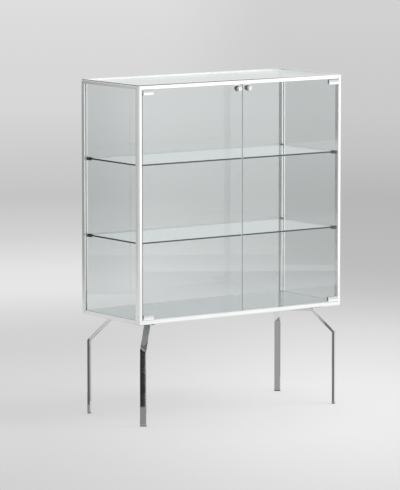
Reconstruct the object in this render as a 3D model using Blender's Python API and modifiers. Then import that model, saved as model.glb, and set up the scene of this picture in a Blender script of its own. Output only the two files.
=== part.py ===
"""Glass display case on four bent legs, with two hinged doors, two shelves and two cam locks.

Units are metres and +Z is up. The doors face -Y and +X is to the right, seen from the front. The
origin is on the floor, under the middle of the object's box.
"""

import math

import bmesh
import bpy
from mathutils import Matrix

# Case
CASE_WIDTH = 1.000
CASE_DEPTH = 0.405
CASE_TOP = 1.350
CASE_BOTTOM = 0.404
FIT = 0.0003  # gap left where two pieces touch

# Frame extrusions: "face" is the width seen from the front or the side
POST_FACE = 0.016
RAIL_FACE = 0.017
PROFILE_DEPTH = 0.022
EDGE_RADIUS = 0.005
INNER_EDGE_RADIUS = 0.0008
WALL = 0.002
POST_CHAMBER = (0.008, 0.012)
RAIL_CHAMBER = (0.007, 0.008)
LEDGE = 0.0032  # width of the ledge that carries the top pane and the base board
TOP_SINK = 0.004  # from the top of the frame down to the top pane
SPIGOT_LENGTH = 0.020

# Glass and base board
PANE = 0.005
PANE_INSET = 0.0055  # from the outer face of the case to the pane
PANE_GRIP = 0.0047  # how far a pane stands in its groove
GROOVE_DEPTH = 0.005
SHELF = 0.006
SHELF_TOPS = {"lower": 0.7277, "upper": 1.0360}
SHELF_SIDE = 0.019  # from the outer face to the shelf's end
SHELF_FRONT = 0.026
SHELF_BACK = 0.012

# Doors, hinges and locks: depths run inwards from the front face of the frame
DOOR_GLASS = 0.005
DOOR_PROUD = 0.003
DOOR_SIDE_GAP = 0.0018
DOOR_END_GAP = 0.0015
DOOR_MEETING_GAP = 0.0024
PIVOT_SIDE = 0.0375  # from the outer face of the case to the pivot axis
PIVOT_DEPTH = 0.0035
CLAMP_SIDE = 0.020
CLAMP_WIDTH = 0.048
CLAMP_HEIGHT = 0.020
CLAMP_GAP = 0.0025  # between the rail and the clamp
CLAMP_FRONT = -0.006
CLAMP_BACK = 0.007
CLAMP_CORE = (0.022, 0.0107)  # the solid corner, where the glass is notched
PIN_RADIUS = 0.002
PIN_LENGTH = 0.0162
PIN_IN_RAIL = 0.0062
LOCK_SIDE = 0.025  # from the meeting line to the lock's axis
LOCK_DROP = 0.0335  # from the top of the case to the lock's axis
LOCK_PROUD = 0.020
LOCK_RADIUS = 0.009
BARREL_RADIUS = 0.007
BARREL_BACK = 0.0068
PLUG_RADIUS = 0.0055
CAM_FRONT = 0.0075
CAM_THICKNESS = 0.002
CAM_REACH = 0.0155
CAM_WIDTH = 0.008
KEEPER_REACH = 0.045  # from the middle of the rail to the keeper's end
KEEPER_FRONT = 0.0052
KEEPER_THICKNESS = 0.0016
KEEPER_HANG = 0.004  # below the rail
KEEPER_LET_IN = 0.0025  # into the slot in the rail
NUT_RADIUS = 0.0100
NUT_THICKNESS = 0.004

# Legs, in the upright plane that runs through each corner at 45 degrees
LEG_WIDTH = 0.026
LEG_THICKNESS = 0.012
LEG_INSET_X = 0.0275
LEG_INSET_Y = 0.0105
LEG_KNEE = 0.2965
LEG_SLOPE = 0.090
LEG_RUN = 0.100
PLATE_LENGTH = 0.090
PLATE_WIDTH = 0.060
LEG_EASE = 0.0015
GLIDE = 0.003
GLIDE_MARGIN = 0.00075

# Shelf clips
CLIP_SIDE = POST_FACE + FIT
CLIP_WALL = 0.0022
CLIP_REACH = 0.0112
CLIP_EAR_FRONT = 0.0155
CLIP_JAW_FRONT = 0.0255
CLIP_JAW_BACK = 0.0365
CLIP_BELOW = 0.0045
CLIP_ABOVE = 0.0025

HALF_WIDTH = CASE_WIDTH / 2
LEG_CORNER = (LEG_WIDTH + LEG_THICKNESS) / 2 * math.sqrt(0.5) - (math.sqrt(2) - 1) * LEG_EASE
LEG_OVERHANG = LEG_CORNER - LEG_INSET_Y
FRONT_Y = (DOOR_PROUD + LOCK_PROUD - CASE_DEPTH - LEG_OVERHANG) / 2
BACK_Y = FRONT_Y + CASE_DEPTH
SIDES = {"left": -1, "right": 1}
ENDS = {"front": -1, "back": 1}
LEVELS = {"bottom": -1, "top": 1}
ARC_STEPS = 4
ROUND = 24
TURN_X = (math.pi / 2, 0.0, 0.0)  # local X, Y, Z become world X, Z, -Y
TURN_YZ = (math.pi / 2, 0.0, math.pi / 2)  # local X, Y, Z become world Y, Z, X


def clear_scene():
    for obj in list(bpy.data.objects):
        bpy.data.objects.remove(obj, do_unlink=True)


def new_collection(name):
    collection = bpy.data.collections.new(name)
    bpy.context.scene.collection.children.link(collection)
    return collection


def new_material(name, colour, roughness, metallic=0.0, transmission=0.0):
    material = bpy.data.materials.new(name)
    material.use_nodes = True
    shader = material.node_tree.nodes["Principled BSDF"]
    shader.inputs["Base Color"].default_value = (*colour, 1.0)
    shader.inputs["Roughness"].default_value = roughness
    shader.inputs["Metallic"].default_value = metallic
    shader.inputs["Transmission Weight"].default_value = transmission
    material.diffuse_color = (*colour, 1.0)
    return material


def add_object(name, mesh, material, location=(0, 0, 0), rotation=(0, 0, 0)):
    """A visible piece, or a hidden helper shape where there is no material."""
    obj = bpy.data.objects.new(name, mesh)
    obj.location = location
    obj.rotation_euler = rotation
    if material is None:
        HELPERS.objects.link(obj)
        obj.hide_render = True
        obj.display_type = "WIRE"
    else:
        CASE.objects.link(obj)
        mesh.materials.append(material)
    return obj


def mesh_from(builder):
    mesh = bpy.data.meshes.new("mesh")
    work = bmesh.new()
    builder(work)
    work.to_mesh(mesh)
    work.free()
    return mesh


def middle_and_size(low, high):
    centre = [(a + b) / 2 for a, b in zip(low, high)]
    size = [abs(b - a) for a, b in zip(low, high)]
    return centre, size


def add_box(name, low, high, material=None):
    """A box between two opposite corners, with its origin in the middle."""
    centre, size = middle_and_size(low, high)
    matrix = Matrix.Diagonal((*size, 1.0))
    mesh = mesh_from(lambda work: bmesh.ops.create_cube(work, size=1.0, matrix=matrix))
    return add_object(name, mesh, material, centre)


def boxes_mesh(corners):
    """One mesh of several separate boxes."""

    def build(work):
        for low, high in corners:
            centre, size = middle_and_size(low, high)
            matrix = Matrix.Translation(centre) @ Matrix.Diagonal((*size, 1.0))
            bmesh.ops.create_cube(work, size=1.0, matrix=matrix)

    return mesh_from(build)


def add_cylinder(name, radius, length, location, material=None, segments=16):
    """An upright cylinder about its own middle."""

    def build(work):
        bmesh.ops.create_cone(
            work, cap_ends=True, segments=segments, radius1=radius, radius2=radius, depth=length
        )

    return add_object(name, mesh_from(build), material, location)


def boolean(obj, operation, other):
    modifier = obj.modifiers.new(operation.title(), "BOOLEAN")
    modifier.operation = operation
    modifier.object = other


def circle(radius, centre=(0.0, 0.0), segments=ROUND):
    turns = [2 * math.pi * step / segments for step in range(segments)]
    return [(centre[0] + radius * math.cos(a), centre[1] + radius * math.sin(a)) for a in turns]


def rectangle(low, high):
    return [(low[0], low[1]), (high[0], low[1]), (high[0], high[1]), (low[0], high[1])]


def add_extrusion(name, loops, length, material, location=(0, 0, 0), rotation=(0, 0, 0)):
    """A flat outline given thickness. Loops after the first are holes through it."""
    curve = bpy.data.curves.new(name, "CURVE")
    curve.dimensions = "2D"
    curve.fill_mode = "BOTH"
    curve.extrude = length / 2
    for loop in loops:
        spline = curve.splines.new("POLY")
        spline.points.add(len(loop) - 1)
        for point, (x, y) in zip(spline.points, loop):
            point.co = (x, y, 0.0, 1.0)
        spline.use_cyclic_u = True
    drawn = bpy.data.objects.new(name + "_outline", curve)
    CASE.objects.link(drawn)
    graph = bpy.context.evaluated_depsgraph_get()
    mesh = bpy.data.meshes.new_from_object(drawn.evaluated_get(graph))
    bpy.data.objects.remove(drawn)
    work = bmesh.new()
    work.from_mesh(mesh)
    bmesh.ops.remove_doubles(work, verts=work.verts, dist=1e-6)
    bmesh.ops.recalc_face_normals(work, faces=work.faces)
    work.to_mesh(mesh)
    work.free()
    return add_object(name, mesh, material, location, rotation)


def add_turned(name, profile, closed, material, location, rotation):
    """A turned piece: the profile's (radius, height) points are revolved about local Z."""
    mesh = bpy.data.meshes.new(name)
    points = [(radius, 0.0, height) for radius, height in profile]
    edges = [(index, index + 1) for index in range(len(points) - 1)]
    if closed:
        edges.append((len(points) - 1, 0))
    mesh.from_pydata(points, edges, [])
    obj = add_object(name, mesh, material, location, rotation)
    screw = obj.modifiers.new("Turn", "SCREW")
    screw.steps = screw.render_steps = ROUND
    screw.use_merge_vertices = True
    screw.merge_threshold = 1e-5
    return obj


def soften(obj, width, segments=1):
    """Eased edges."""
    bevel = obj.modifiers.new("Eased edges", "BEVEL")
    bevel.width = width
    bevel.segments = segments
    bevel.limit_method = "ANGLE"


def end_y(end, depth):
    """World Y of a depth measured inwards from the front or the back of the case."""
    return FRONT_Y + depth if end == "front" else BACK_Y - depth


def side_x(side, inset):
    """World X of an inset measured inwards from the left or the right of the case."""
    return SIDES[side] * (HALF_WIDTH - inset)


def level_z(level, drop):
    """World Z of a distance measured inwards from the bottom or the top of the case."""
    return CASE_BOTTOM + drop if level == "bottom" else CASE_TOP - drop


def profile_loop(width, height, grooves_far=(), ledge=None, groove_side=None):
    """Outline of a frame extrusion: its rounded outer edge is at the origin.

    grooves_far is the span of a groove in the edge at the full height, ledge says whether the step
    for a panel is cut at height 0 ("near") or at the full height ("far"), and groove_side is the
    span of a groove in the edge at the full width.
    """
    radius = EDGE_RADIUS
    loop = []
    for step in range(ARC_STEPS + 1):
        angle = math.pi * (1 + step / ARC_STEPS / 2)
        loop.append((radius + radius * math.cos(angle), radius + radius * math.sin(angle)))
    step_width = width - LEDGE
    step_height = PANE + FIT
    if ledge == "near":
        step_height += TOP_SINK
        loop += [(step_width, 0.0), (step_width, step_height), (width, step_height)]
    else:
        loop += [(width - INNER_EDGE_RADIUS, 0.0), (width, INNER_EDGE_RADIUS)]
    if groove_side:
        floor = width - GROOVE_DEPTH + FIT + WALL / 2
        low, high = groove_side
        loop += [(width, low), (floor, low), (floor, high), (width, high)]
    if ledge == "far":
        loop += [(width, height - step_height), (step_width, height - step_height)]
        loop.append((step_width, height))
    else:
        loop.append((width, height))
    if grooves_far:
        low, high = grooves_far
        floor = height - GROOVE_DEPTH
        loop += [(high, height), (high, floor), (low, floor), (low, height)]
    loop.append((0.0, height))
    return loop


def mirrored(loop, across, up):
    return [(across * x, up * y) for x, y in loop]


PANE_SPAN = (PANE_INSET - FIT, PANE_INSET + PANE + FIT)


def add_posts(material):
    """Upright extrusions. Each has a groove for a side pane, and the back ones for the back pane."""
    low, high = CASE_BOTTOM + RAIL_FACE + FIT, CASE_TOP - RAIL_FACE - FIT
    chamber = rectangle((WALL, WALL), (WALL + POST_CHAMBER[0], WALL + POST_CHAMBER[1]))
    for end in ENDS:
        back_groove = PANE_SPAN if end == "back" else None
        outline = profile_loop(POST_FACE, PROFILE_DEPTH, PANE_SPAN, groove_side=back_groove)
        for side in SIDES:
            signs = (-SIDES[side], -ENDS[end])
            loops = [mirrored(loop, *signs) for loop in (outline, chamber)]
            location = (side_x(side, 0.0), end_y(end, 0.0), (low + high) / 2)
            add_extrusion(f"{end}_{side}_post", loops, high - low, material, location)


def add_rails(material):
    """Level extrusions: front, back and side members of the top and the bottom frame."""
    chamber = rectangle((WALL, WALL), (WALL + RAIL_CHAMBER[0], WALL + RAIL_CHAMBER[1]))
    across_length = CASE_WIDTH - 2 * (POST_FACE + FIT)
    along_length = CASE_DEPTH - 2 * (PROFILE_DEPTH + FIT)
    for level in LEVELS:
        ledge = "near" if level == "top" else "far"
        upwards = -LEVELS[level]
        for end in ENDS:
            groove = PANE_SPAN if end == "back" else ()
            outline = profile_loop(PROFILE_DEPTH, RAIL_FACE, groove, ledge)
            loops = [mirrored(loop, -ENDS[end], upwards) for loop in (outline, chamber)]
            location = (0.0, end_y(end, 0.0), level_z(level, 0.0))
            rail = add_extrusion(
                f"{level}_{end}_rail", loops, across_length, material, location, TURN_YZ
            )
            if end == "front":
                drill_pin_holes(rail, level)
            if (level, end) == ("top", "front"):
                add_lock_keeper(rail, material)
        outline = profile_loop(POST_FACE, RAIL_FACE, PANE_SPAN, ledge)
        for side in SIDES:
            loops = [mirrored(loop, -SIDES[side], upwards) for loop in (outline, chamber)]
            location = (side_x(side, 0.0), (FRONT_Y + BACK_Y) / 2, level_z(level, 0.0))
            add_extrusion(f"{level}_{side}_rail", loops, along_length, material, location, TURN_X)


def drill_pin_holes(rail, level):
    """Blind holes in the inner face of a front rail, where the hinge pins turn."""
    depth = PIN_IN_RAIL + FIT
    for side in SIDES:
        middle = level_z(level, RAIL_FACE - depth / 2 + FIT / 2)
        location = (side_x(side, PIVOT_SIDE), end_y("front", PIVOT_DEPTH), middle)
        name = f"{level}_{side}_rail_hole"
        boolean(rail, "DIFFERENCE", add_cylinder(name, PIN_RADIUS + FIT, depth + FIT, location))


def add_lock_keeper(rail, material):
    """Strip let into the underside of the top front rail. The lock cams turn up behind it."""
    floor = CASE_TOP - RAIL_FACE
    front = FRONT_Y + KEEPER_FRONT
    slot_low = (-KEEPER_REACH - FIT, front - FIT, floor - 0.001)
    slot_high = (KEEPER_REACH + FIT, front + KEEPER_THICKNESS + FIT, floor + KEEPER_LET_IN + FIT)
    boolean(rail, "DIFFERENCE", add_box("keeper_slot", slot_low, slot_high))
    low = (-KEEPER_REACH, front, floor - KEEPER_HANG)
    high = (KEEPER_REACH, front + KEEPER_THICKNESS, floor + KEEPER_LET_IN)
    soften(add_box("lock_keeper", low, high, material), 0.0004)


def add_corner_connectors(material):
    """Three-way corner blocks, with a spigot into each of the three members that meet there."""
    for level in LEVELS:
        for end in ENDS:
            for side in SIDES:
                add_corner_connector(level, end, side, material)


def add_corner_connector(level, end, side, material):
    """The block's outer corner is its local origin, and local +X, +Y and +Z point inwards."""
    size = (POST_FACE, PROFILE_DEPTH, RAIL_FACE)
    inward = (-SIDES[side], -ENDS[end], -LEVELS[level])

    def build(work):
        centre = [value / 2 for value in size]
        matrix = Matrix.Translation(centre) @ Matrix.Diagonal((*size, 1.0))
        bmesh.ops.create_cube(work, size=1.0, matrix=matrix)
        corner = min(work.verts, key=lambda vert: vert.co.length)
        bmesh.ops.bevel(
            work,
            geom=list(corner.link_edges),
            offset=EDGE_RADIUS,
            segments=ARC_STEPS,
            profile=0.5,
            affect="EDGES",
        )
        bmesh.ops.transform(work, matrix=Matrix.Diagonal((*inward, 1.0)), verts=work.verts)
        bmesh.ops.recalc_face_normals(work, faces=work.faces)

    location = (side_x(side, 0.0), end_y(end, 0.0), level_z(level, 0.0))
    name = f"{level}_{end}_{side}_corner"
    block = add_object(name, mesh_from(build), material, location)

    def placed(corners):
        return [
            [tuple(sign * value for sign, value in zip(inward, point)) for point in pair]
            for pair in corners
        ]

    over = 0.001
    pane_low, pane_high = PANE_SPAN
    groove_floor = RAIL_FACE - GROOVE_DEPTH
    step_low, step_high = (-over, TOP_SINK + PANE + FIT)
    if level == "bottom":
        step_low, step_high = (RAIL_FACE - PANE - FIT, RAIL_FACE + over)
    cuts = [
        (
            (pane_low, PROFILE_DEPTH - GROOVE_DEPTH, groove_floor),
            (pane_high, PROFILE_DEPTH + over, RAIL_FACE + over),
        ),
        (
            (POST_FACE - LEDGE, PROFILE_DEPTH - LEDGE, step_low),
            (POST_FACE + over, PROFILE_DEPTH + over, step_high),
        ),
    ]
    if end == "back":
        back_floor = POST_FACE - GROOVE_DEPTH + FIT + WALL / 2
        cuts.append(
            (
                (back_floor, pane_low, groove_floor),
                (POST_FACE + over, pane_high, RAIL_FACE + over),
            )
        )
    cutter = add_object(name + "_cuts", boxes_mesh(placed(cuts)), None, location)
    boolean(block, "DIFFERENCE", cutter)

    near = WALL + FIT
    post_far = [WALL + value - FIT for value in POST_CHAMBER]
    rail_far = [WALL + value - FIT for value in RAIL_CHAMBER]
    spigots = [
        ((near, near, RAIL_FACE - over), (*post_far, RAIL_FACE + SPIGOT_LENGTH)),
        ((POST_FACE - over, near, near), (POST_FACE + SPIGOT_LENGTH, *rail_far)),
        (
            (near, PROFILE_DEPTH - over, near),
            (rail_far[0], PROFILE_DEPTH + SPIGOT_LENGTH, rail_far[1]),
        ),
    ]
    for label, spigot in zip("zxy", placed(spigots)):
        helper = add_object(f"{name}_spigot_{label}", boxes_mesh([spigot]), None, location)
        boolean(block, "UNION", helper)


def add_panes(glass):
    """Side, back and top panes. The fixed panes stand in grooves and the top one lies on ledges."""
    low = CASE_BOTTOM + RAIL_FACE - PANE_GRIP
    high = CASE_TOP - RAIL_FACE + PANE_GRIP
    edge = PROFILE_DEPTH - PANE_GRIP
    for side in SIDES:
        near = (side_x(side, PANE_INSET), FRONT_Y + edge, low)
        far = (side_x(side, PANE_INSET + PANE), BACK_Y - edge, high)
        add_box(f"{side}_pane", near, far, glass)
    reach = HALF_WIDTH - POST_FACE + GROOVE_DEPTH - WALL / 2 - 2 * FIT
    near = (-reach, BACK_Y - PANE_INSET - PANE, low)
    add_box("back_pane", near, (reach, BACK_Y - PANE_INSET, high), glass)
    inset = POST_FACE - LEDGE + FIT
    depth = PROFILE_DEPTH - LEDGE + FIT
    top = CASE_TOP - TOP_SINK
    near = (inset - HALF_WIDTH, FRONT_Y + depth, top - PANE)
    add_box("top_pane", near, (HALF_WIDTH - inset, BACK_Y - depth, top), glass)


def add_base_board(material):
    """Thick board that fills the bottom frame, with a thinner lip that lies on the ledges."""
    lip = CASE_BOTTOM + RAIL_FACE - PANE
    inset, depth = POST_FACE + FIT, PROFILE_DEPTH + FIT
    low = (inset - HALF_WIDTH, FRONT_Y + depth, CASE_BOTTOM)
    board = add_box("base_board", low, (-low[0], BACK_Y - depth, lip + 0.001), material)
    low = (low[0] - LEDGE, low[1] - LEDGE, lip)
    high = (-low[0], BACK_Y - depth + LEDGE, lip + PANE)
    boolean(board, "UNION", add_box("base_board_lip", low, high))


def add_shelves(glass, black):
    """Two glass shelves, each held at its corners by clips on the posts."""
    for level, top in SHELF_TOPS.items():
        low = (SHELF_SIDE - HALF_WIDTH, FRONT_Y + SHELF_FRONT, top - SHELF)
        high = (HALF_WIDTH - SHELF_SIDE, BACK_Y - SHELF_BACK, top)
        soften(add_box(f"{level}_shelf", low, high, glass), 0.0006)
        for end in ENDS:
            for side in SIDES:
                add_shelf_clip(level, end, side, top, black)


def add_shelf_clip(level, end, side, top, material):
    """An ear against the post's inner face, and a jaw round the shelf's end."""
    signs = (-SIDES[side], -ENDS[end])
    outline = [
        (CLIP_SIDE, CLIP_EAR_FRONT),
        (CLIP_SIDE + CLIP_WALL, CLIP_EAR_FRONT),
        (CLIP_SIDE + CLIP_WALL, CLIP_JAW_FRONT),
        (CLIP_SIDE + CLIP_REACH, CLIP_JAW_FRONT),
        (CLIP_SIDE + CLIP_REACH, CLIP_JAW_BACK),
        (CLIP_SIDE, CLIP_JAW_BACK),
    ]
    low, high = top - SHELF - CLIP_BELOW, top + CLIP_ABOVE
    location = (side_x(side, 0.0), end_y(end, 0.0), (low + high) / 2)
    name = f"{level}_{end}_{side}_clip"
    clip = add_extrusion(name, [mirrored(outline, *signs)], high - low, material, location)
    slot_low = (side_x(side, CLIP_SIDE + CLIP_WALL), end_y(end, 0.0), top - SHELF - FIT)
    slot_high = (side_x(side, 2 * CLIP_JAW_BACK), end_y(end, 2 * CLIP_JAW_BACK), top + FIT)
    boolean(clip, "DIFFERENCE", add_box(name + "_slot", slot_low, slot_high))


def add_pivot(name, location, parent=None):
    """An empty on a joint's axis."""
    pivot = bpy.data.objects.new(name, None)
    CASE.objects.link(pivot)
    pivot.location = location
    if parent:
        attach(pivot, parent)
    return pivot


def attach(obj, parent):
    """Parents without moving. Parents here are only ever moved, not turned."""
    offset = parent.matrix_world.inverted_safe() if parent.parent is None else None
    obj.parent = parent
    obj.matrix_parent_inverse = offset or Matrix.Translation(-parent.matrix_world.translation)


def add_door(side, glass, metal, steel, chrome):
    """Door glass with its hinge clamps, pins and lock, all under an empty on the pivot axis."""
    pivot = add_pivot(f"{side}_door_pivot", (side_x(side, PIVOT_SIDE), FRONT_Y + PIVOT_DEPTH, 0.0))
    lock_z = CASE_TOP - LOCK_DROP
    pieces = [add_door_glass(side, lock_z, glass)]
    for level in LEVELS:
        pieces.append(add_hinge_clamp(level, side, metal))
        pieces.append(add_hinge_pin(level, side, steel))
    pieces.append(add_lock_housing(side, lock_z, chrome))
    pieces.append(add_lock_nut(side, lock_z, steel))
    lock_pivot = add_pivot(f"{side}_lock_pivot", (SIDES[side] * LOCK_SIDE, FRONT_Y, lock_z))
    bpy.context.view_layer.update()
    plug = add_lock_plug(side, lock_z, chrome)
    attach(plug, lock_pivot)
    for piece in [*pieces, lock_pivot]:
        attach(piece, pivot)


def door_span():
    """Insets of the door's outer and meeting edges, and heights of its lower and upper edges."""
    outer = POST_FACE + DOOR_SIDE_GAP
    meeting = HALF_WIDTH - DOOR_MEETING_GAP / 2
    low = CASE_BOTTOM + RAIL_FACE + DOOR_END_GAP
    high = CASE_TOP - RAIL_FACE - DOOR_END_GAP
    return outer, meeting, low, high


def add_door_glass(side, lock_z, glass):
    """A pane notched at its two outer corners for the hinge clamps, with a hole for the lock."""
    outer, meeting, low, high = door_span()
    notch_x = CLAMP_SIDE + CLAMP_CORE[0] + FIT
    notch_z = RAIL_FACE + CLAMP_GAP + CLAMP_CORE[1] + FIT
    insets_heights = [
        (notch_x, low),
        (meeting, low),
        (meeting, high),
        (notch_x, high),
        (notch_x, CASE_TOP - notch_z),
        (outer, CASE_TOP - notch_z),
        (outer, CASE_BOTTOM + notch_z),
        (notch_x, CASE_BOTTOM + notch_z),
    ]
    outline = [(side_x(side, inset), height) for inset, height in insets_heights]
    hole = circle(BARREL_RADIUS + 2 * FIT, (SIDES[side] * LOCK_SIDE, lock_z))
    middle = FRONT_Y - DOOR_PROUD + DOOR_GLASS / 2
    name = f"{side}_door_glass"
    return add_extrusion(name, [outline, hole], DOOR_GLASS, glass, (0.0, middle, 0.0), TURN_X)


def add_hinge_clamp(level, side, material):
    """A clamp with a front plate, a back plate and a solid corner that carries the pin."""
    near_z, far_z = RAIL_FACE + CLAMP_GAP, RAIL_FACE + CLAMP_GAP + CLAMP_HEIGHT
    low = (side_x(side, CLAMP_SIDE), FRONT_Y + CLAMP_FRONT, level_z(level, near_z))
    high = (
        side_x(side, CLAMP_SIDE + CLAMP_WIDTH),
        FRONT_Y + CLAMP_BACK,
        level_z(level, far_z),
    )
    name = f"{level}_{side}_hinge_clamp"
    clamp = add_box(name, low, high, material)
    over = 0.002
    core_x, core_z = CLAMP_SIDE + CLAMP_CORE[0], near_z + CLAMP_CORE[1]
    slot = [
        (CLAMP_SIDE - over, core_z),
        (core_x, core_z),
        (core_x, near_z - over),
        (CLAMP_SIDE + CLAMP_WIDTH + over, near_z - over),
        (CLAMP_SIDE + CLAMP_WIDTH + over, far_z + over),
        (CLAMP_SIDE - over, far_z + over),
    ]
    loop = [(side_x(side, inset), level_z(level, drop)) for inset, drop in slot]
    middle = FRONT_Y - DOOR_PROUD + DOOR_GLASS / 2
    cutter = add_extrusion(
        name + "_slot", [loop], DOOR_GLASS + 2 * FIT, None, (0.0, middle, 0.0), TURN_X
    )
    boolean(clamp, "DIFFERENCE", cutter)
    depth = PIN_LENGTH - PIN_IN_RAIL - CLAMP_GAP + FIT
    location = (
        side_x(side, PIVOT_SIDE),
        FRONT_Y + PIVOT_DEPTH,
        level_z(level, near_z + depth / 2 - FIT / 2),
    )
    hole = add_cylinder(name + "_hole", PIN_RADIUS + FIT, depth + FIT, location)
    boolean(clamp, "DIFFERENCE", hole)
    return clamp


def add_hinge_pin(level, side, material):
    """The pin stands in the clamp and turns in the rail."""
    start = RAIL_FACE - PIN_IN_RAIL + FIT
    length = PIN_LENGTH - 2 * FIT
    location = (
        side_x(side, PIVOT_SIDE),
        FRONT_Y + PIVOT_DEPTH,
        level_z(level, start + length / 2),
    )
    return add_cylinder(f"{level}_{side}_hinge_pin", PIN_RADIUS, length, location, material)


def add_lock_housing(side, lock_z, material):
    """Round body in front of the glass, and a barrel with a bore that passes through it."""
    front = DOOR_PROUD + LOCK_PROUD
    shoulder = DOOR_PROUD + FIT
    bore = PLUG_RADIUS + FIT
    ease = 0.0008
    profile = [
        (bore, front),
        (LOCK_RADIUS - ease, front),
        (LOCK_RADIUS, front - ease),
        (LOCK_RADIUS, shoulder),
        (BARREL_RADIUS, shoulder),
        (BARREL_RADIUS, -BARREL_BACK),
        (bore, -BARREL_BACK),
    ]
    location = (SIDES[side] * LOCK_SIDE, FRONT_Y, lock_z)
    return add_turned(f"{side}_lock_housing", profile, True, material, location, TURN_X)


def add_lock_nut(side, lock_z, material):
    """Round nut on the barrel, behind the glass."""
    loops = [circle(NUT_RADIUS), circle(BARREL_RADIUS + FIT)]
    depth = DOOR_GLASS - DOOR_PROUD + FIT + NUT_THICKNESS / 2
    location = (SIDES[side] * LOCK_SIDE, FRONT_Y + depth, lock_z)
    return add_extrusion(f"{side}_lock_nut", loops, NUT_THICKNESS, material, location, TURN_X)


def add_lock_plug(side, lock_z, material):
    """Key plug through the bore, with the cam riveted on. Both cams point to the right at rest."""
    front = DOOR_PROUD + LOCK_PROUD - 0.0006
    profile = [
        (0.0, front),
        (PLUG_RADIUS, front),
        (PLUG_RADIUS, -CAM_FRONT - CAM_THICKNESS / 2),
        (0.0, -CAM_FRONT - CAM_THICKNESS / 2),
    ]
    location = (SIDES[side] * LOCK_SIDE, FRONT_Y, lock_z)
    plug = add_turned(f"{side}_lock_plug", profile, False, material, location, TURN_X)
    keyway_low = (location[0] - 0.0007, FRONT_Y - front - 0.001, lock_z - 0.0034)
    keyway_high = (location[0] + 0.0007, FRONT_Y - front + 0.008, lock_z + 0.0034)
    boolean(plug, "DIFFERENCE", add_box(f"{side}_keyway", keyway_low, keyway_high))
    half = CAM_WIDTH / 2
    turns = [math.pi * (0.5 + step / (ROUND / 2)) for step in range(ROUND // 2 + 1)]
    outline = [(half * math.cos(turn), half * math.sin(turn)) for turn in turns]
    outline += [(CAM_REACH, -half), (CAM_REACH, half)]
    cam = add_extrusion(
        f"{side}_cam",
        [outline],
        CAM_THICKNESS,
        None,
        (location[0], FRONT_Y + CAM_FRONT + CAM_THICKNESS / 2, lock_z),
        TURN_X,
    )
    boolean(plug, "UNION", cam)
    return plug


def leg_outline():
    """Side view of a leg: local X points outwards and local Y is height."""
    half = LEG_THICKNESS / 2
    mitre = half * math.tan(math.pi / 8)
    knee, run = LEG_KNEE, LEG_KNEE + LEG_SLOPE
    end = -LEG_SLOPE - LEG_RUN
    foot = GLIDE + FIT
    return [
        (half, foot),
        (half, knee + mitre),
        (-LEG_SLOPE + mitre, run + half),
        (end, run + half),
        (end, run - half),
        (-LEG_SLOPE - mitre, run - half),
        (-half, knee - mitre),
        (-half, foot),
    ]


def add_legs(chrome, rubber):
    """Bent flat legs in the corners' diagonal planes, each with a mounting plate and a glide."""
    top = CASE_BOTTOM - FIT
    run_top = LEG_KNEE + LEG_SLOPE + LEG_THICKNESS / 2
    for end in ENDS:
        for side in SIDES:
            # Local X, Y and Z are outwards, up and across the leg.
            outward = math.atan2(ENDS[end], SIDES[side])
            turn = (math.pi / 2, 0.0, outward)
            location = (side_x(side, LEG_INSET_X), end_y(end, LEG_INSET_Y), 0.0)
            name = f"{end}_{side}_leg"
            leg = add_extrusion(name, [leg_outline()], LEG_WIDTH, chrome, location, turn)
            soften(leg, LEG_EASE, 2)
            run_middle = -LEG_SLOPE - LEG_RUN / 2
            low = (run_middle - PLATE_LENGTH / 2, run_top - 0.001, -PLATE_WIDTH / 2)
            high = (run_middle + PLATE_LENGTH / 2, top, PLATE_WIDTH / 2)
            plate = add_object(name + "_plate", boxes_mesh([(low, high)]), None, location, turn)
            boolean(leg, "UNION", plate)
            half_thick = LEG_THICKNESS / 2 - GLIDE_MARGIN
            half_wide = LEG_WIDTH / 2 - GLIDE_MARGIN
            pad = boxes_mesh([((-half_thick, 0.0, -half_wide), (half_thick, GLIDE, half_wide))])
            add_object(f"{end}_{side}_glide", pad, rubber, location, turn)


clear_scene()
CASE = new_collection("display_case")
HELPERS = new_collection("helper_shapes")

FRAME = new_material("frame_metal", (0.90, 0.90, 0.895), 0.20, metallic=1.0)
GLASS = new_material("clear_glass", (0.80, 0.88, 0.86), 0.02, transmission=1.0)
BOARD = new_material("base_board", (0.50, 0.55, 0.54), 0.10)
CHROME = new_material("chrome", (0.75, 0.76, 0.76), 0.06, metallic=1.0)
SATIN = new_material("satin_metal", (0.82, 0.82, 0.82), 0.25, metallic=1.0)
STEEL = new_material("steel", (0.55, 0.55, 0.56), 0.30, metallic=1.0)
BLACK = new_material("black_plastic", (0.02, 0.02, 0.02), 0.45)

add_posts(FRAME)
add_rails(FRAME)
add_corner_connectors(FRAME)
add_panes(GLASS)
add_base_board(BOARD)
add_shelves(GLASS, BLACK)
for door_side in SIDES:
    add_door(door_side, GLASS, SATIN, STEEL, CHROME)
add_legs(CHROME, BLACK)
for turned_piece in CASE.objects:
    if "lock" in turned_piece.name or "pin" in turned_piece.name:
        if turned_piece.type == "MESH":
            turned_piece.data.shade_smooth()
            turned_piece.data.set_sharp_from_angle(angle=math.radians(35))
bpy.context.view_layer.update()
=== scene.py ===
"""Looks of the glass display case: materials, fine detail, studio light and the camera."""

import math

import bmesh
import bpy
from mathutils import Matrix, Vector


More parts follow.
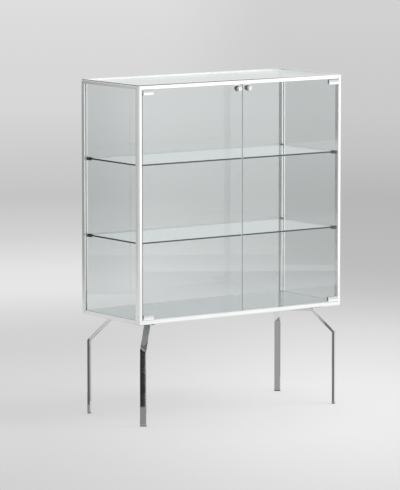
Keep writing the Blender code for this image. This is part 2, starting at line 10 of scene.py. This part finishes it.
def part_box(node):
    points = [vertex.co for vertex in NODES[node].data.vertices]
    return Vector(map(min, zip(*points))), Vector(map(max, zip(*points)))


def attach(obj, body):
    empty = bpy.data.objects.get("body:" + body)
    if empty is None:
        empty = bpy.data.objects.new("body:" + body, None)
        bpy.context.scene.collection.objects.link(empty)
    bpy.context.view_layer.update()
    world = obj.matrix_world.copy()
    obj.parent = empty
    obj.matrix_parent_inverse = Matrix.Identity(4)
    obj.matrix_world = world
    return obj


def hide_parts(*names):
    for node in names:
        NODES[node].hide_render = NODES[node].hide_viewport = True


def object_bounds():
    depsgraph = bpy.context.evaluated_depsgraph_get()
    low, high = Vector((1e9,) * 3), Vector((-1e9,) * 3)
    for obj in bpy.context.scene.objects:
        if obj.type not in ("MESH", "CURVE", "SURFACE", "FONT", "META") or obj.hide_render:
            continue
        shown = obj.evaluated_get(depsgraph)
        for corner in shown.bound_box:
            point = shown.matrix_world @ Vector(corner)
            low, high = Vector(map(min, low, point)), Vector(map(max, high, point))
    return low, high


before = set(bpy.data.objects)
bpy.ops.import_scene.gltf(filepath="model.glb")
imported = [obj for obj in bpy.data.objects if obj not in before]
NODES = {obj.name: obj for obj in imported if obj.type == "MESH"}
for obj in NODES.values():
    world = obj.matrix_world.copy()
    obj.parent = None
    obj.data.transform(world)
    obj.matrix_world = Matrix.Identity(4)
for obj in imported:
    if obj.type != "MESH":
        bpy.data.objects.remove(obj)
CAD_BOX = [list(corner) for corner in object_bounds()]
LOW = Vector(CAD_BOX[0])
FRONT_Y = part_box("front_left_post")[0].y
CASE_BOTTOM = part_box("bottom_front_rail")[0].z
SIDES = {"left": -1, "right": 1}  # the way along X from the middle to each side
ENDS = ("front", "back")
LEVELS = ("bottom", "top")


# ---------------------------------------------------------------- materials
class Nodes:
    """Short calls for building one material's node tree, or the world's."""

    def __init__(self, name, world=None):
        if world is None:
            self.material = bpy.data.materials.new(name)
            self.material.use_nodes = True
            tree = self.material.node_tree
        else:
            tree = world.node_tree
        self.tree = tree
        self.tree.nodes.clear()

    def add(self, kind, settings=None, **inputs):
        node = self.tree.nodes.new(kind)
        for key, value in (settings or {}).items():
            setattr(node, key, value)
        for key, value in inputs.items():
            self.put(node, key, value)
        return node

    def put(self, node, key, value):
        """Sets or links an input, by name with underscores, or by number as i0, i1 and so on."""
        names = {socket.name.replace(" ", "_"): socket for socket in reversed(node.inputs)}
        socket = node.inputs[int(key[1:])] if key[0] == "i" and key[1:].isdigit() else names[key]
        if isinstance(value, bpy.types.NodeSocket):
            self.tree.links.new(value, socket)
        else:
            socket.default_value = value

    def coords(self, output="Object"):
        return self.add("ShaderNodeTexCoord").outputs[output]

    def scaled(self, vector, scale):
        node = self.add("ShaderNodeMapping", Vector=vector, Scale=scale)
        return node.outputs[0]

    def noise(self, scale, detail=3.0, roughness=0.5, vector=None):
        node = self.add(
            "ShaderNodeTexNoise",
            Vector=vector or self.coords(),
            Scale=scale,
            Detail=detail,
            Roughness=roughness,
        )
        return node.outputs["Fac"]

    def grain(self, scale, detail=3.0):
        """Fine noise with a scale of its own along each axis."""
        return self.noise(1.0, detail, 0.6, self.scaled(self.coords(), scale))

    def math(self, operation, a, b=0.0, clamp=False):
        node = self.add("ShaderNodeMath", {"operation": operation, "use_clamp": clamp}, i0=a, i1=b)
        return node.outputs[0]

    def span(self, value, low, high, to_low, to_high):
        """Maps low to high onto to_low to to_high, and holds the ends beyond them."""
        node = self.add(
            "ShaderNodeMapRange",
            Value=value,
            From_Min=low,
            From_Max=high,
            To_Min=to_low,
            To_Max=to_high,
        )
        return node.outputs[0]

    def vary(self, noise, low, high):
        """A value from low to high, over the middle of a noise's range, where most of it lies."""
        return self.span(noise, 0.3, 0.7, low, high)

    def smooth(self, value, low, high):
        """Eases from 0 at low to 1 at high."""
        settings = {"interpolation_type": "SMOOTHSTEP"}
        node = self.add("ShaderNodeMapRange", settings, Value=value, From_Min=low, From_Max=high)
        return node.outputs[0]

    def blend(self, factor, a, b):
        node = self.add("ShaderNodeMix", {"data_type": "RGBA"}, i0=factor, i6=a, i7=b)
        return node.outputs[2]

    def mix(self, factor, first, second):
        return self.add("ShaderNodeMixShader", i0=factor, i1=first, i2=second).outputs[0]

    def bump(self, height, distance, strength=1.0):
        node = self.add("ShaderNodeBump", Height=height, Distance=distance, Strength=strength)
        return node.outputs[0]

    def finish(self, shader):
        output = self.add("ShaderNodeOutputMaterial")
        self.tree.links.new(shader, output.inputs[0])
        return self.material


def grey(value):
    return (value, value, value, 1)


def anodised(name, grain):
    """Pale bright anodised aluminium: fine drawn grain, faint tone changes."""
    n = Nodes(name)
    cloud = n.noise(7.0, 2.0)
    drawn = n.grain(grain)
    darker, paler = (0.91, 0.91, 0.905, 1), (0.95, 0.95, 0.945, 1)
    colour = n.blend(n.vary(cloud, 0.0, 1.0), darker, paler)
    shader = n.add(
        "ShaderNodeBsdfPrincipled",
        Base_Color=colour,
        Roughness=n.vary(drawn, 0.15, 0.23),
        Normal=n.bump(drawn, 0.00001, 0.3),
    )
    shader.inputs["Metallic"].default_value = 0.85
    return n.finish(shader.outputs[0])


def chrome(name, tint=0.80, rough=(0.02, 0.07)):
    """Bright plate with faint polishing marks and a little haze."""
    n = Nodes(name)
    marks = n.grain((900.0, 900.0, 40.0))
    haze = n.noise(22.0, 4.0)
    colour = n.blend(haze, grey(tint * 0.96), (tint, tint * 1.01, tint * 1.01, 1))
    shader = n.add(
        "ShaderNodeBsdfPrincipled",
        Base_Color=colour,
        Roughness=n.vary(haze, *rough),
        Normal=n.bump(marks, 0.00001, 0.25),
    )
    shader.inputs["Metallic"].default_value = 1.0
    return n.finish(shader.outputs[0])


def satin(name, tint, rough, grain):
    """Blasted or turned metal with a fine grain."""
    n = Nodes(name)
    fine = n.grain(grain, 2.0)
    colour = n.blend(fine, grey(tint * 0.92), grey(tint))
    shader = n.add(
        "ShaderNodeBsdfPrincipled",
        Base_Color=colour,
        Roughness=n.vary(fine, rough - 0.05, rough + 0.06),
        Normal=n.bump(fine, 0.00003, 0.4),
    )
    shader.inputs["Metallic"].default_value = 1.0
    return n.finish(shader.outputs[0])


def moulded(name, colour, rough):
    """Moulded black plastic or rubber with a fine texture."""
    n = Nodes(name)
    grain = n.noise(1400.0, 3.0, 0.6)
    tone = n.noise(70.0, 3.0)
    darker, paler = ((*[part * change for part in colour], 1) for change in (0.8, 1.3))
    shader = n.add(
        "ShaderNodeBsdfPrincipled",
        Base_Color=n.blend(tone, darker, paler),
        Roughness=n.vary(tone, rough - 0.08, rough + 0.08),
        Normal=n.bump(grain, 0.0001, 0.3),
    )
    return n.finish(shader.outputs[0])


GLOSS_IOR = 1.5  # of the glass and of the board's gloss


def board():
    """Glossy grey-green laminate, with faint cloudiness and fine wipe marks."""
    n = Nodes("glossy_board")
    cloud = n.noise(5.0, 3.0)
    wipes = n.grain((10.0, 260.0, 60.0))
    colour = n.blend(cloud, (0.43, 0.465, 0.455, 1), (0.49, 0.525, 0.515, 1))
    shader = n.add(
        "ShaderNodeBsdfPrincipled",
        Base_Color=colour,
        Roughness=n.vary(wipes, 0.05, 0.11),
        Normal=n.bump(cloud, 0.00002, 0.2),
    )
    shader.inputs["IOR"].default_value = GLOSS_IOR
    return n.finish(shader.outputs[0])


EDGE_FROM_INSIDE = (0.86, 0.89, 0.88, 1)  # a ground edge lit through the pane
FACE_ALONG = 0.8  # the least share of a normal along the pane's axis for a face, not an edge


def glass(
    name,
    axis,
    tint=(0.950, 0.958, 0.960),
    edge=(0.42, 0.47, 0.46),
    edge_gloss=0.5,
    solid_edge=False,
):
    """Clear pane. Its two faces let light through and mirror by angle, and its edges are ground.

    A solid edge has one tone. Others turn pale where a ray meets them from inside the pane, which
    keeps the grooves from looking dark. An export without backfacing loses that.
    """
    n = Nodes(name)
    normal = n.coords("Normal")
    along = n.add("ShaderNodeVectorMath", {"operation": "DOT_PRODUCT"}, i0=normal, i1=axis)
    face = n.math("GREATER_THAN", n.math("ABSOLUTE", along.outputs["Value"]), FACE_ALONG)
    smear = n.grain((7.0, 7.0, 3.0), 4.0)
    mirror = n.add("ShaderNodeBsdfGlossy", Roughness=n.span(smear, 0.35, 0.75, 0.0, 0.04))
    mirror.inputs["Color"].default_value = (0.97, 0.99, 0.985, 1)
    clear = n.add("ShaderNodeBsdfTransparent")
    clear.inputs["Color"].default_value = (*tint, 1)
    fresnel = n.add("ShaderNodeFresnel", IOR=GLOSS_IOR).outputs[0]
    inside = n.add("ShaderNodeNewGeometry").outputs["Backfacing"]
    # Both of a pane's faces mirror, and the one that the ray enters by stands for the two
    both = n.math("DIVIDE", n.math("MULTIPLY", fresnel, 2.0), n.math("ADD", fresnel, 1.0))
    share = n.math("MULTIPLY", both, n.math("SUBTRACT", 1.0, inside), clamp=True)
    pane = n.mix(share, clear.outputs[0], mirror.outputs[0])
    streak = n.grain((14.0, 14.0, 14.0))
    outside_edge = n.blend(streak, (*edge, 1), (*[part * 1.7 for part in edge], 1))
    inside_edge = outside_edge if solid_edge else EDGE_FROM_INSIDE
    ground = n.add(
        "ShaderNodeBsdfPrincipled",
        Base_Color=n.blend(inside, outside_edge, inside_edge),
        Roughness=n.vary(streak, 0.10, 0.20),
    )
    ground.inputs["Specular IOR Level"].default_value = edge_gloss
    return n.finish(n.mix(face, ground.outputs[0], pane))


FRAME_X = anodised("frame_along_x", (3.0, 1500.0, 1500.0))
FRAME_Y = anodised("frame_along_y", (1500.0, 3.0, 1500.0))
FRAME_Z = anodised("frame_upright", (1500.0, 1500.0, 3.0))
CORNER = anodised("frame_corner", (500.0, 500.0, 500.0))
CHROME = chrome("leg_chrome")
LOCK_CHROME = chrome("lock_chrome", 0.86, (0.05, 0.10))
SATIN = satin("clamp_metal", 0.93, 0.30, (300.0, 1800.0, 1800.0))
STEEL = satin("steel", 0.60, 0.28, (1500.0, 60.0, 1500.0))
# The same satin metal made darker: painted shade on the clamps' upper halves
CLAMP_PAINTED_SHADE = satin("clamp_cap", 0.66, 0.36, (300.0, 1800.0, 1800.0))
BLACK = moulded("clip_black", (0.016, 0.016, 0.017), 0.42)
RUBBER = moulded("glide_rubber", (0.020, 0.020, 0.020), 0.70)
BOARD = board()
PANE_X = glass("side_glass", (1, 0, 0))
PANE_Y = glass("back_glass", (0, 1, 0))
DOOR = glass("door_glass", (0, 1, 0), edge=(0.34, 0.38, 0.38))
TOP = glass("top_glass", (0, 0, 1), tint=(0.980, 0.985, 0.985))
SHELF = glass(
    "shelf_glass",
    (0, 0, 1),
    tint=(0.93, 0.95, 0.955),
    edge=(0.006, 0.011, 0.015),
    edge_gloss=0.25,
    solid_edge=True,
)


def dress(material, *names):
    for name in names:
        mesh = NODES[name].data
        mesh.materials.clear()
        mesh.materials.append(material)


for end in ENDS:
    for side in SIDES:
        dress(FRAME_Z, f"{end}_{side}_post")
        dress(CHROME, f"{end}_{side}_leg")
        dress(RUBBER, f"{end}_{side}_glide")
        for level in LEVELS:
            dress(CORNER, f"{level}_{end}_{side}_corner")
        for level in ("lower", "upper"):
            dress(BLACK, f"{level}_{end}_{side}_clip")
for level in LEVELS:
    dress(FRAME_X, *(f"{level}_{end}_rail" for end in ENDS))
    dress(FRAME_Y, *(f"{level}_{side}_rail" for side in SIDES))
for side in SIDES:
    for level in LEVELS:
        dress(SATIN, f"{level}_{side}_hinge_clamp")
        dress(STEEL, f"{level}_{side}_hinge_pin")
    dress(PANE_X, f"{side}_pane")
    dress(DOOR, f"{side}_door_glass")
    dress(LOCK_CHROME, f"{side}_lock_housing", f"{side}_lock_plug")
    dress(STEEL, f"{side}_lock_nut")
dress(PANE_Y, "back_pane")
dress(TOP, "top_pane")
dress(SHELF, "lower_shelf", "upper_shelf")
dress(BOARD, "base_board")
dress(FRAME_X, "lock_keeper")


# ---------------------------------------------------------------- fine detail
def new_object(name, mesh, material=None):
    obj = bpy.data.objects.new(name, mesh)
    bpy.context.scene.collection.objects.link(obj)
    if material:
        mesh.materials.append(material)
    return obj


def new_mesh(name, build):
    """A mesh that build fills."""
    mesh = bpy.data.meshes.new(name)
    work = bmesh.new()
    build(work)
    work.to_mesh(mesh)
    work.free()
    return mesh


def add_piece(name, build, materials, body, smooth=None):
    """A piece of detail, which moves with the body. Angles under smooth are shaded as curves."""

    def build_outward(work):
        build(work)
        bmesh.ops.recalc_face_normals(work, faces=work.faces)

    mesh = new_mesh(name, build_outward)
    piece = new_object(name, mesh)
    for material in materials:
        mesh.materials.append(material)
    if smooth:
        mesh.shade_smooth()
        mesh.set_sharp_from_angle(angle=math.radians(smooth))
    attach(piece, body)
    return piece


def add_block(work, low, high):
    centre = [(a + b) / 2 for a, b in zip(low, high)]
    size = [b - a for a, b in zip(low, high)]
    matrix = Matrix.Translation(centre) @ Matrix.Diagonal((*size, 1.0))
    bmesh.ops.create_cube(work, size=1.0, matrix=matrix)


def add_prism(work, outline, start, end, place):
    """A prism over a closed outline, from start to end. place(u, v, w) puts each corner."""
    rings = [[work.verts.new(place(u, v, w)) for u, v in outline] for w in (start, end)]
    faces = [work.faces.new(rings[0]), work.faces.new(list(reversed(rings[1])))]
    for index in range(len(outline)):
        after = (index + 1) % len(outline)
        corners = (rings[0][index], rings[1][index], rings[1][after], rings[0][after])
        faces.append(work.faces.new(corners))
    return faces


def full_turn(segments):
    return [2 * math.pi * step / segments for step in range(segments)]


def add_band(work, lower, upper):
    """Faces between two rings of the same number of corners."""
    for step in range(len(lower)):
        after = (step + 1) % len(lower)
        work.faces.new((lower[step], upper[step], upper[after], lower[after]))


def add_turned(work, profile, centre, segments=40):
    """A ring turned about an axis along Y. The profile's points are (radius, Y), closed."""
    rings = []
    for radius, y in profile:
        ring = []
        for turn in full_turn(segments):
            x, z = centre.x + radius * math.cos(turn), centre.z + radius * math.sin(turn)
            ring.append(work.verts.new((x, y, z)))
        rings.append(ring)
    for index, ring in enumerate(rings):
        add_band(work, ring, rings[(index + 1) % len(rings)])


def add_screw_head(work, centre, radius, height, segments=24):
    """A domed head with a hexagon socket. It stands on its centre and faces +Y."""
    socket = radius * 0.5
    sixth = math.pi / 3
    rows = [
        (radius, 0.0),
        (radius, height * 0.45),
        (radius * 0.86, height * 0.85),
        (radius * 0.66, height),
        (socket, height),
        (socket, height * 0.3),
    ]
    first_socket_row = 4
    rings = []
    for place, (reach, rise) in enumerate(rows):
        ring = []
        for turn in full_turn(segments):
            if place >= first_socket_row:
                reach = socket * math.cos(sixth / 2) / math.cos(turn % sixth - sixth / 2)
            x, z = reach * math.cos(turn), reach * math.sin(turn)
            ring.append(work.verts.new((centre[0] + x, centre[1] + rise, centre[2] + z)))
        rings.append(ring)
    work.faces.new(rings[0])
    work.faces.new(list(reversed(rings[-1])))
    for lower, upper in zip(rings, rings[1:]):
        add_band(work, lower, upper)


CLAMP_GROOVE = 0.0005  # half the height of the groove across the front plate
CLAMP_FACE = 0.0009  # depth of the groove
CLAMP_GRIP = 0.0002  # the gap between the glass and each plate
CLAMP_CORE = (0.0218, 0.0105)  # width and height of the corner between the plates
SCREW_PLACES = (0.30, 0.78)  # along the clamp, from its outer end
SCREW_HEAD = (0.0032, 0.0012)  # radius and height
SMOOTH_BELOW = 35  # degrees between faces, for the turned pieces


def add_clamp(level, side):
    """Hinge clamp: a grooved front plate, a back plate with two screws, and the corner between."""
    node = f"{level}_{side}_hinge_clamp"
    low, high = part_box(node)
    middle = (low.z + high.z) / 2
    glass_low, glass_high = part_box(f"{side}_door_glass")
    front, behind = glass_low.y - CLAMP_GRIP, glass_high.y + CLAMP_GRIP
    outline = [
        (front, low.z),
        (low.y + 0.0005, low.z),
        (low.y, low.z + 0.0005),
        (low.y, middle - CLAMP_GROOVE * 1.6),
        (low.y + CLAMP_FACE, middle - CLAMP_GROOVE),
        (low.y + CLAMP_FACE, middle + CLAMP_GROOVE),
        (low.y + 0.0002, middle + CLAMP_GROOVE * 1.6),
        (low.y + 0.0012, high.z - 0.0006),
        (low.y + 0.0016, high.z),
        (front, high.z),
    ]
    outer = low.x if side == "left" else high.x
    inward = -SIDES[side]

    def build(work):
        # Faces centred above the middle get the darker metal: painted shade, after a tone in the
        # photograph
        for face in add_prism(work, outline, low.x, high.x, lambda y, z, x: (x, y, z)):
            if face.calc_center_median().z > middle:
                face.material_index = 1
        add_block(work, (low.x, behind, low.z), high)
        core_width, core_height = CLAMP_CORE
        core_x = sorted((outer, outer + inward * core_width))
        if level == "top":
            core_z = (high.z - core_height, high.z)
        else:
            core_z = (low.z, low.z + core_height)
        add_block(work, (core_x[0], front, core_z[0]), (core_x[1], behind, core_z[1]))

    name = f"{level}_{side}_clamp_body"
    clamp = add_piece(name, build, (SATIN, CLAMP_PAINTED_SHADE), f"{side}_door")
    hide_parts(node)

    def build_screws(work):
        for place in SCREW_PLACES:
            x = outer + inward * (high.x - low.x) * place
            add_screw_head(work, (x, high.y, middle), *SCREW_HEAD)

    name = f"{level}_{side}_clamp_screws"
    add_piece(name, build_screws, (STEEL,), f"{side}_door", smooth=SMOOTH_BELOW)


def add_lock_ring(side):
    """Black ring between the lock and the glass."""
    low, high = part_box(f"{side}_lock_housing")
    centre = (low + high) / 2
    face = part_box(f"{side}_door_glass")[0].y
    profile = [
        (0.0092, face - 0.0001),
        (0.0108, face - 0.0001),
        (0.0110, face - 0.0004),
        (0.0106, face - 0.0014),
        (0.0100, face - 0.0017),
        (0.0092, face - 0.0017),
    ]

    def build(work):
        add_turned(work, profile, centre)

    name = f"{side}_lock_ring"
    add_piece(name, build, (RUBBER,), f"{side}_door", smooth=SMOOTH_BELOW)


for side in SIDES:
    for level in LEVELS:
        add_clamp(level, side)
    add_lock_ring(side)


# ---------------------------------------------------------------- studio
FLOOR_RADIUS = 120.0
FLOOR_REACH = 30.0  # the distance over which the floor's tone changes
FLOOR_LIT = 0.45  # the share of the floor's tone that lights and shadows change
FLOOR_RIGHT = (0.811, -0.585, 0)  # the way to the right, as the camera sees it
FLOOR_TURN = 0.75  # half the width of the change from the left tones to the right ones
# The tones were judged and sampled from the photograph's backdrop, then typed in.
# Painted light and shade: these tones stand in for how the light falls on the floor
FLOOR_PAINTED_LIGHT_TONES = [  # distance from the object's middle, tone on the left, tone on the right
    (0.0, 0.745, 0.885),
    (0.7, 0.725, 0.885),
    (1.2, 0.690, 0.835),
    (1.8, 0.655, 0.775),
    (2.3, 0.655, 0.725),
    (2.9, 0.710, 0.645),
    (3.6, 0.800, 0.565),
    (4.4, 0.785, 0.520),
    (5.9, 0.650, 0.495),
    (7.8, 0.560, 0.480),
    (10.8, 0.620, 0.555),
    (14.0, 0.680, 0.600),
    (29.0, 0.735, 0.650),
]


def floor_material():
    """Pale floor with painted light and shade: its tone changes with distance and across, and part
    of it is a painted glow. It isn't plain: see the table of tones above.
    """
    n = Nodes("pale_floor")
    place = n.coords()
    length = n.add("ShaderNodeVectorMath", {"operation": "LENGTH"}, i0=place).outputs["Value"]
    across = n.add("ShaderNodeVectorMath", {"operation": "DOT_PRODUCT"}, i0=place, i1=FLOOR_RIGHT)
    sides = []
    for column in (1, 2):
        ramp = n.add("ShaderNodeValToRGB", Fac=n.span(length, 0.0, FLOOR_REACH, 0.0, 1.0))
        elements = ramp.color_ramp.elements
        while len(elements) < len(FLOOR_PAINTED_LIGHT_TONES):
            elements.new(0.5)
        for element, row in zip(elements, FLOOR_PAINTED_LIGHT_TONES):
            element.position = row[0] / FLOOR_REACH
            element.color = (row[column], row[column] * 1.003, row[column] * 0.995, 1)
        sides.append(ramp.outputs[0])
    rightness = n.smooth(across.outputs["Value"], -FLOOR_TURN, FLOOR_TURN)
    tone = n.blend(rightness, *sides)
    lit = n.add("ShaderNodeVectorMath", {"operation": "SCALE"}, i0=tone, i3=FLOOR_LIT).outputs[0]
    # The emission is a painted glow, which pales the floor's shadows
    shader = n.add("ShaderNodeBsdfPrincipled", Base_Color=lit, Emission_Color=tone)
    shader.inputs["Emission Strength"].default_value = 1.0 - FLOOR_LIT
    shader.inputs["Roughness"].default_value = 0.8
    shader.inputs["Specular IOR Level"].default_value = 0.0
    return n.finish(shader.outputs[0])


def add_floor():
    def build(work):
        bmesh.ops.create_circle(work, cap_ends=True, segments=96, radius=FLOOR_RADIUS)

    new_object("studio_floor", new_mesh("studio_floor", build), floor_material())


def add_card(name, centre, size, facing, value, one_sided=False, soft=(0.0, 0.0), turn=0.0):
    """A flat card that only mirrors see, as studio flags and reflectors are used: a painted
    reflection, light or dark by its tone.

    value is its tone. Its front faces the way of facing, and a one_sided card's back isn't there.
    soft gives the share of its width and of its height over which each edge fades, and turn
    turns it about the way that it faces.
    """
    n = Nodes(name)
    glow = n.add("ShaderNodeEmission", Strength=1.0)
    glow.inputs["Color"].default_value = (value, value * 1.01, value, 1)
    shader = glow.outputs[0]
    absent = n.add("ShaderNodeNewGeometry").outputs["Backfacing"] if one_sided else None
    if any(soft):
        place = n.add("ShaderNodeSeparateXYZ", Vector=n.coords())
        for axis, share in enumerate(soft):
            if share:
                edge = n.math("ABSOLUTE", place.outputs[axis])
                fade = n.smooth(edge, 0.5 - share, 0.5)
                absent = fade if absent is None else n.math("MAXIMUM", absent, fade)
    if absent is not None:
        shader = n.mix(absent, shader, n.add("ShaderNodeBsdfTransparent").outputs[0])

    def build(work):
        bmesh.ops.create_grid(work, x_segments=1, y_segments=1, size=0.5)

    card = new_object(name, new_mesh(name, build), n.finish(shader))
    card.location = centre
    card.scale = (size[0], size[1], 1)
    card.rotation_euler = Vector(facing).to_track_quat("Z", "Y").to_euler()
    card.rotation_euler.rotate_axis("Z", turn)
    card.visible_camera = False
    card.visible_diffuse = False
    card.visible_shadow = False
    card.visible_transmission = False


def add_sun(name, towards, strength, spread):
    """A broad soft light from one side, even over the whole floor."""
    data = bpy.data.lights.new(name, "SUN")
    data.energy = strength
    data.angle = math.radians(spread)
    light = bpy.data.objects.new(name, data)
    bpy.context.scene.collection.objects.link(light)
    light.rotation_euler = Vector(towards).to_track_quat("-Z", "Y").to_euler()
    light.visible_glossy = False


def add_world():
    world = bpy.data.worlds.new("studio")
    bpy.context.scene.world = world
    world.use_nodes = True
    n = Nodes("", world)
    background = n.add("ShaderNodeBackground", Strength=1.0)
    background.inputs["Color"].default_value = (0.80, 0.81, 0.81, 1)
    output = n.add("ShaderNodeOutputWorld")
    n.tree.links.new(background.outputs[0], output.inputs[0])


CAMERA_LENS = 268.8
CAMERA_PLACE = (-8.5549, -11.7171 + FRONT_Y, 2.492)
CAMERA_DOWN = 7.0882  # degrees below level
CAMERA_TURN = -35.4724  # degrees about Z, from looking along +Y


def add_camera():
    """The photograph's viewing angle, as fitted to the frame, the shelves and the legs."""
    data = bpy.data.cameras.new("camera")
    data.lens = CAMERA_LENS
    data.clip_end = 400.0
    camera = bpy.data.objects.new("camera", data)
    bpy.context.scene.collection.objects.link(camera)
    camera.location = CAMERA_PLACE
    camera.rotation_euler = (math.radians(90 - CAMERA_DOWN), 0, math.radians(CAMERA_TURN))
    bpy.context.scene.camera = camera


UP, DOWN = (0, 0, 1), (0, 0, -1)

# The cards are placed for the photograph's angle: they set what the chrome and the glass mirror
# there, and only mirrors see them.
add_floor()
add_world()
add_camera()
add_sun("key", (-5.5, 3.9, -5.2), 0.85, 32.0)
add_card("ceiling_card", (-0.6, 1.8, 3.4), (5.0, 8.4), DOWN, 0.05)
add_card(
    "front_right_softbox", (2.1, -3.2, 1.5), (3.6, 2.8), (-0.55, 0.83, 0), 1.25, soft=(0.25, 0.0)
)
add_card("behind_card", (-2.14, 3.34, 0.55), (1.5, 1.6), (0.57, -0.81, 0), 0.12, soft=(0.25, 0.2))
add_card(
    "front_floor_card",
    (1.5, -2.0, 0.001),
    (4.8, 3.2),
    UP,
    1.05,
    one_sided=True,
    soft=(0.2, 0.2),
)
add_card("back_left_leg_side_card", (-0.24, 0.37, 0.20), (0.14, 0.40), (-0.81, -0.57, 0), 0.48)

# Cards that the legs mirror. From the camera, the flat face of each leg mirrors one direction.
FLAG_TURN = math.radians(-145)
FLAG_WAY = Vector((math.cos(FLAG_TURN), math.sin(FLAG_TURN), 0))
FLAG_SIDE = Vector((-FLAG_WAY.y, FLAG_WAY.x, 0))
CAMERA_SIDE_CARD = Vector((LOW.x, LOW.y, 1.55)) + FLAG_WAY * 2.4
add_card("camera_side_card", CAMERA_SIDE_CARD, (1.6, 2.3), -FLAG_WAY, 0.22)
# Dark floor cards that the legs mirror: painted reflections of shaded floor
add_card("leg_floor_card", (-1.31, -0.65, 0.001), (1.58, 1.90), UP, 0.30, one_sided=True)
add_card("knee_floor_card", (-0.57, -0.16, 0.002), (0.08, 0.10), UP, 0.02, one_sided=True)
# Dark strips just outside the case, which the sloping part of the front left leg mirrors: painted
# reflections of the shade under the case
LEFT_KNEE = (-0.651, -0.13, CASE_BOTTOM)
FRONT_KNEE = (-0.30, FRONT_Y - 0.131, CASE_BOTTOM)
add_card("left_knee_flag", LEFT_KNEE, (0.30, 0.66), DOWN, 0.03, one_sided=True)
add_card("front_knee_flag", FRONT_KNEE, (0.40, 0.26), DOWN, 0.03, one_sided=True)

LEG_CARD_DROP = 0.01  # from the case's underside to the top of a leg's card
LEG_STRIP_START = 0.03  # from the foot to the near end of its floor strip
LEG_STRIP_RISE = 0.0006  # above the floor
LEG_STRIP_WIDTH = 0.10
LEG_STRIP_TONE = 0.34


def add_leg_flag(end, side, away, left, right, tone):
    """A card for one leg, which the leg mirrors as a painted reflection of the given tone, and a
    strip of the same use on the floor between the leg and the card, darker than the floor: a
    painted reflection of shaded floor.

    away is its distance from the foot. left and right place its edges across FLAG_WAY.
    """
    low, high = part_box(f"{end}_{side}_glide")
    foot = Vector(((low.x + high.x) / 2, (low.y + high.y) / 2, 0))
    top = CASE_BOTTOM - LEG_CARD_DROP
    middle = foot + FLAG_WAY * away + FLAG_SIDE * (left + right) / 2 + Vector((0, 0, top / 2))
    name = f"{end}_{side}_leg_flag_{away * 1000:.0f}"
    add_card(name, middle, (right - left, top), -FLAG_WAY, tone)
    below = foot + FLAG_WAY * (away + LEG_STRIP_START) / 2 + Vector((0, 0, LEG_STRIP_RISE))
    size = (away - LEG_STRIP_START, LEG_STRIP_WIDTH)
    turn = math.atan2(FLAG_WAY.y, FLAG_WAY.x)
    add_card(f"{name}_floor", below, size, UP, LEG_STRIP_TONE, one_sided=True, turn=turn)


add_leg_flag("front", "left", 0.46, -0.16, 0.0085, 0.035)
add_leg_flag("front", "left", 0.461, 0.0085, 0.015, 1.0)
add_leg_flag("back", "left", 0.22, -0.09, 0.002, 0.13)
add_leg_flag("front", "right", 0.06, -0.03, 0.03, 0.20)
add_leg_flag("back", "right", 0.06, -0.03, 0.03, 0.40)
bpy.context.scene.view_settings.view_transform = "Standard"
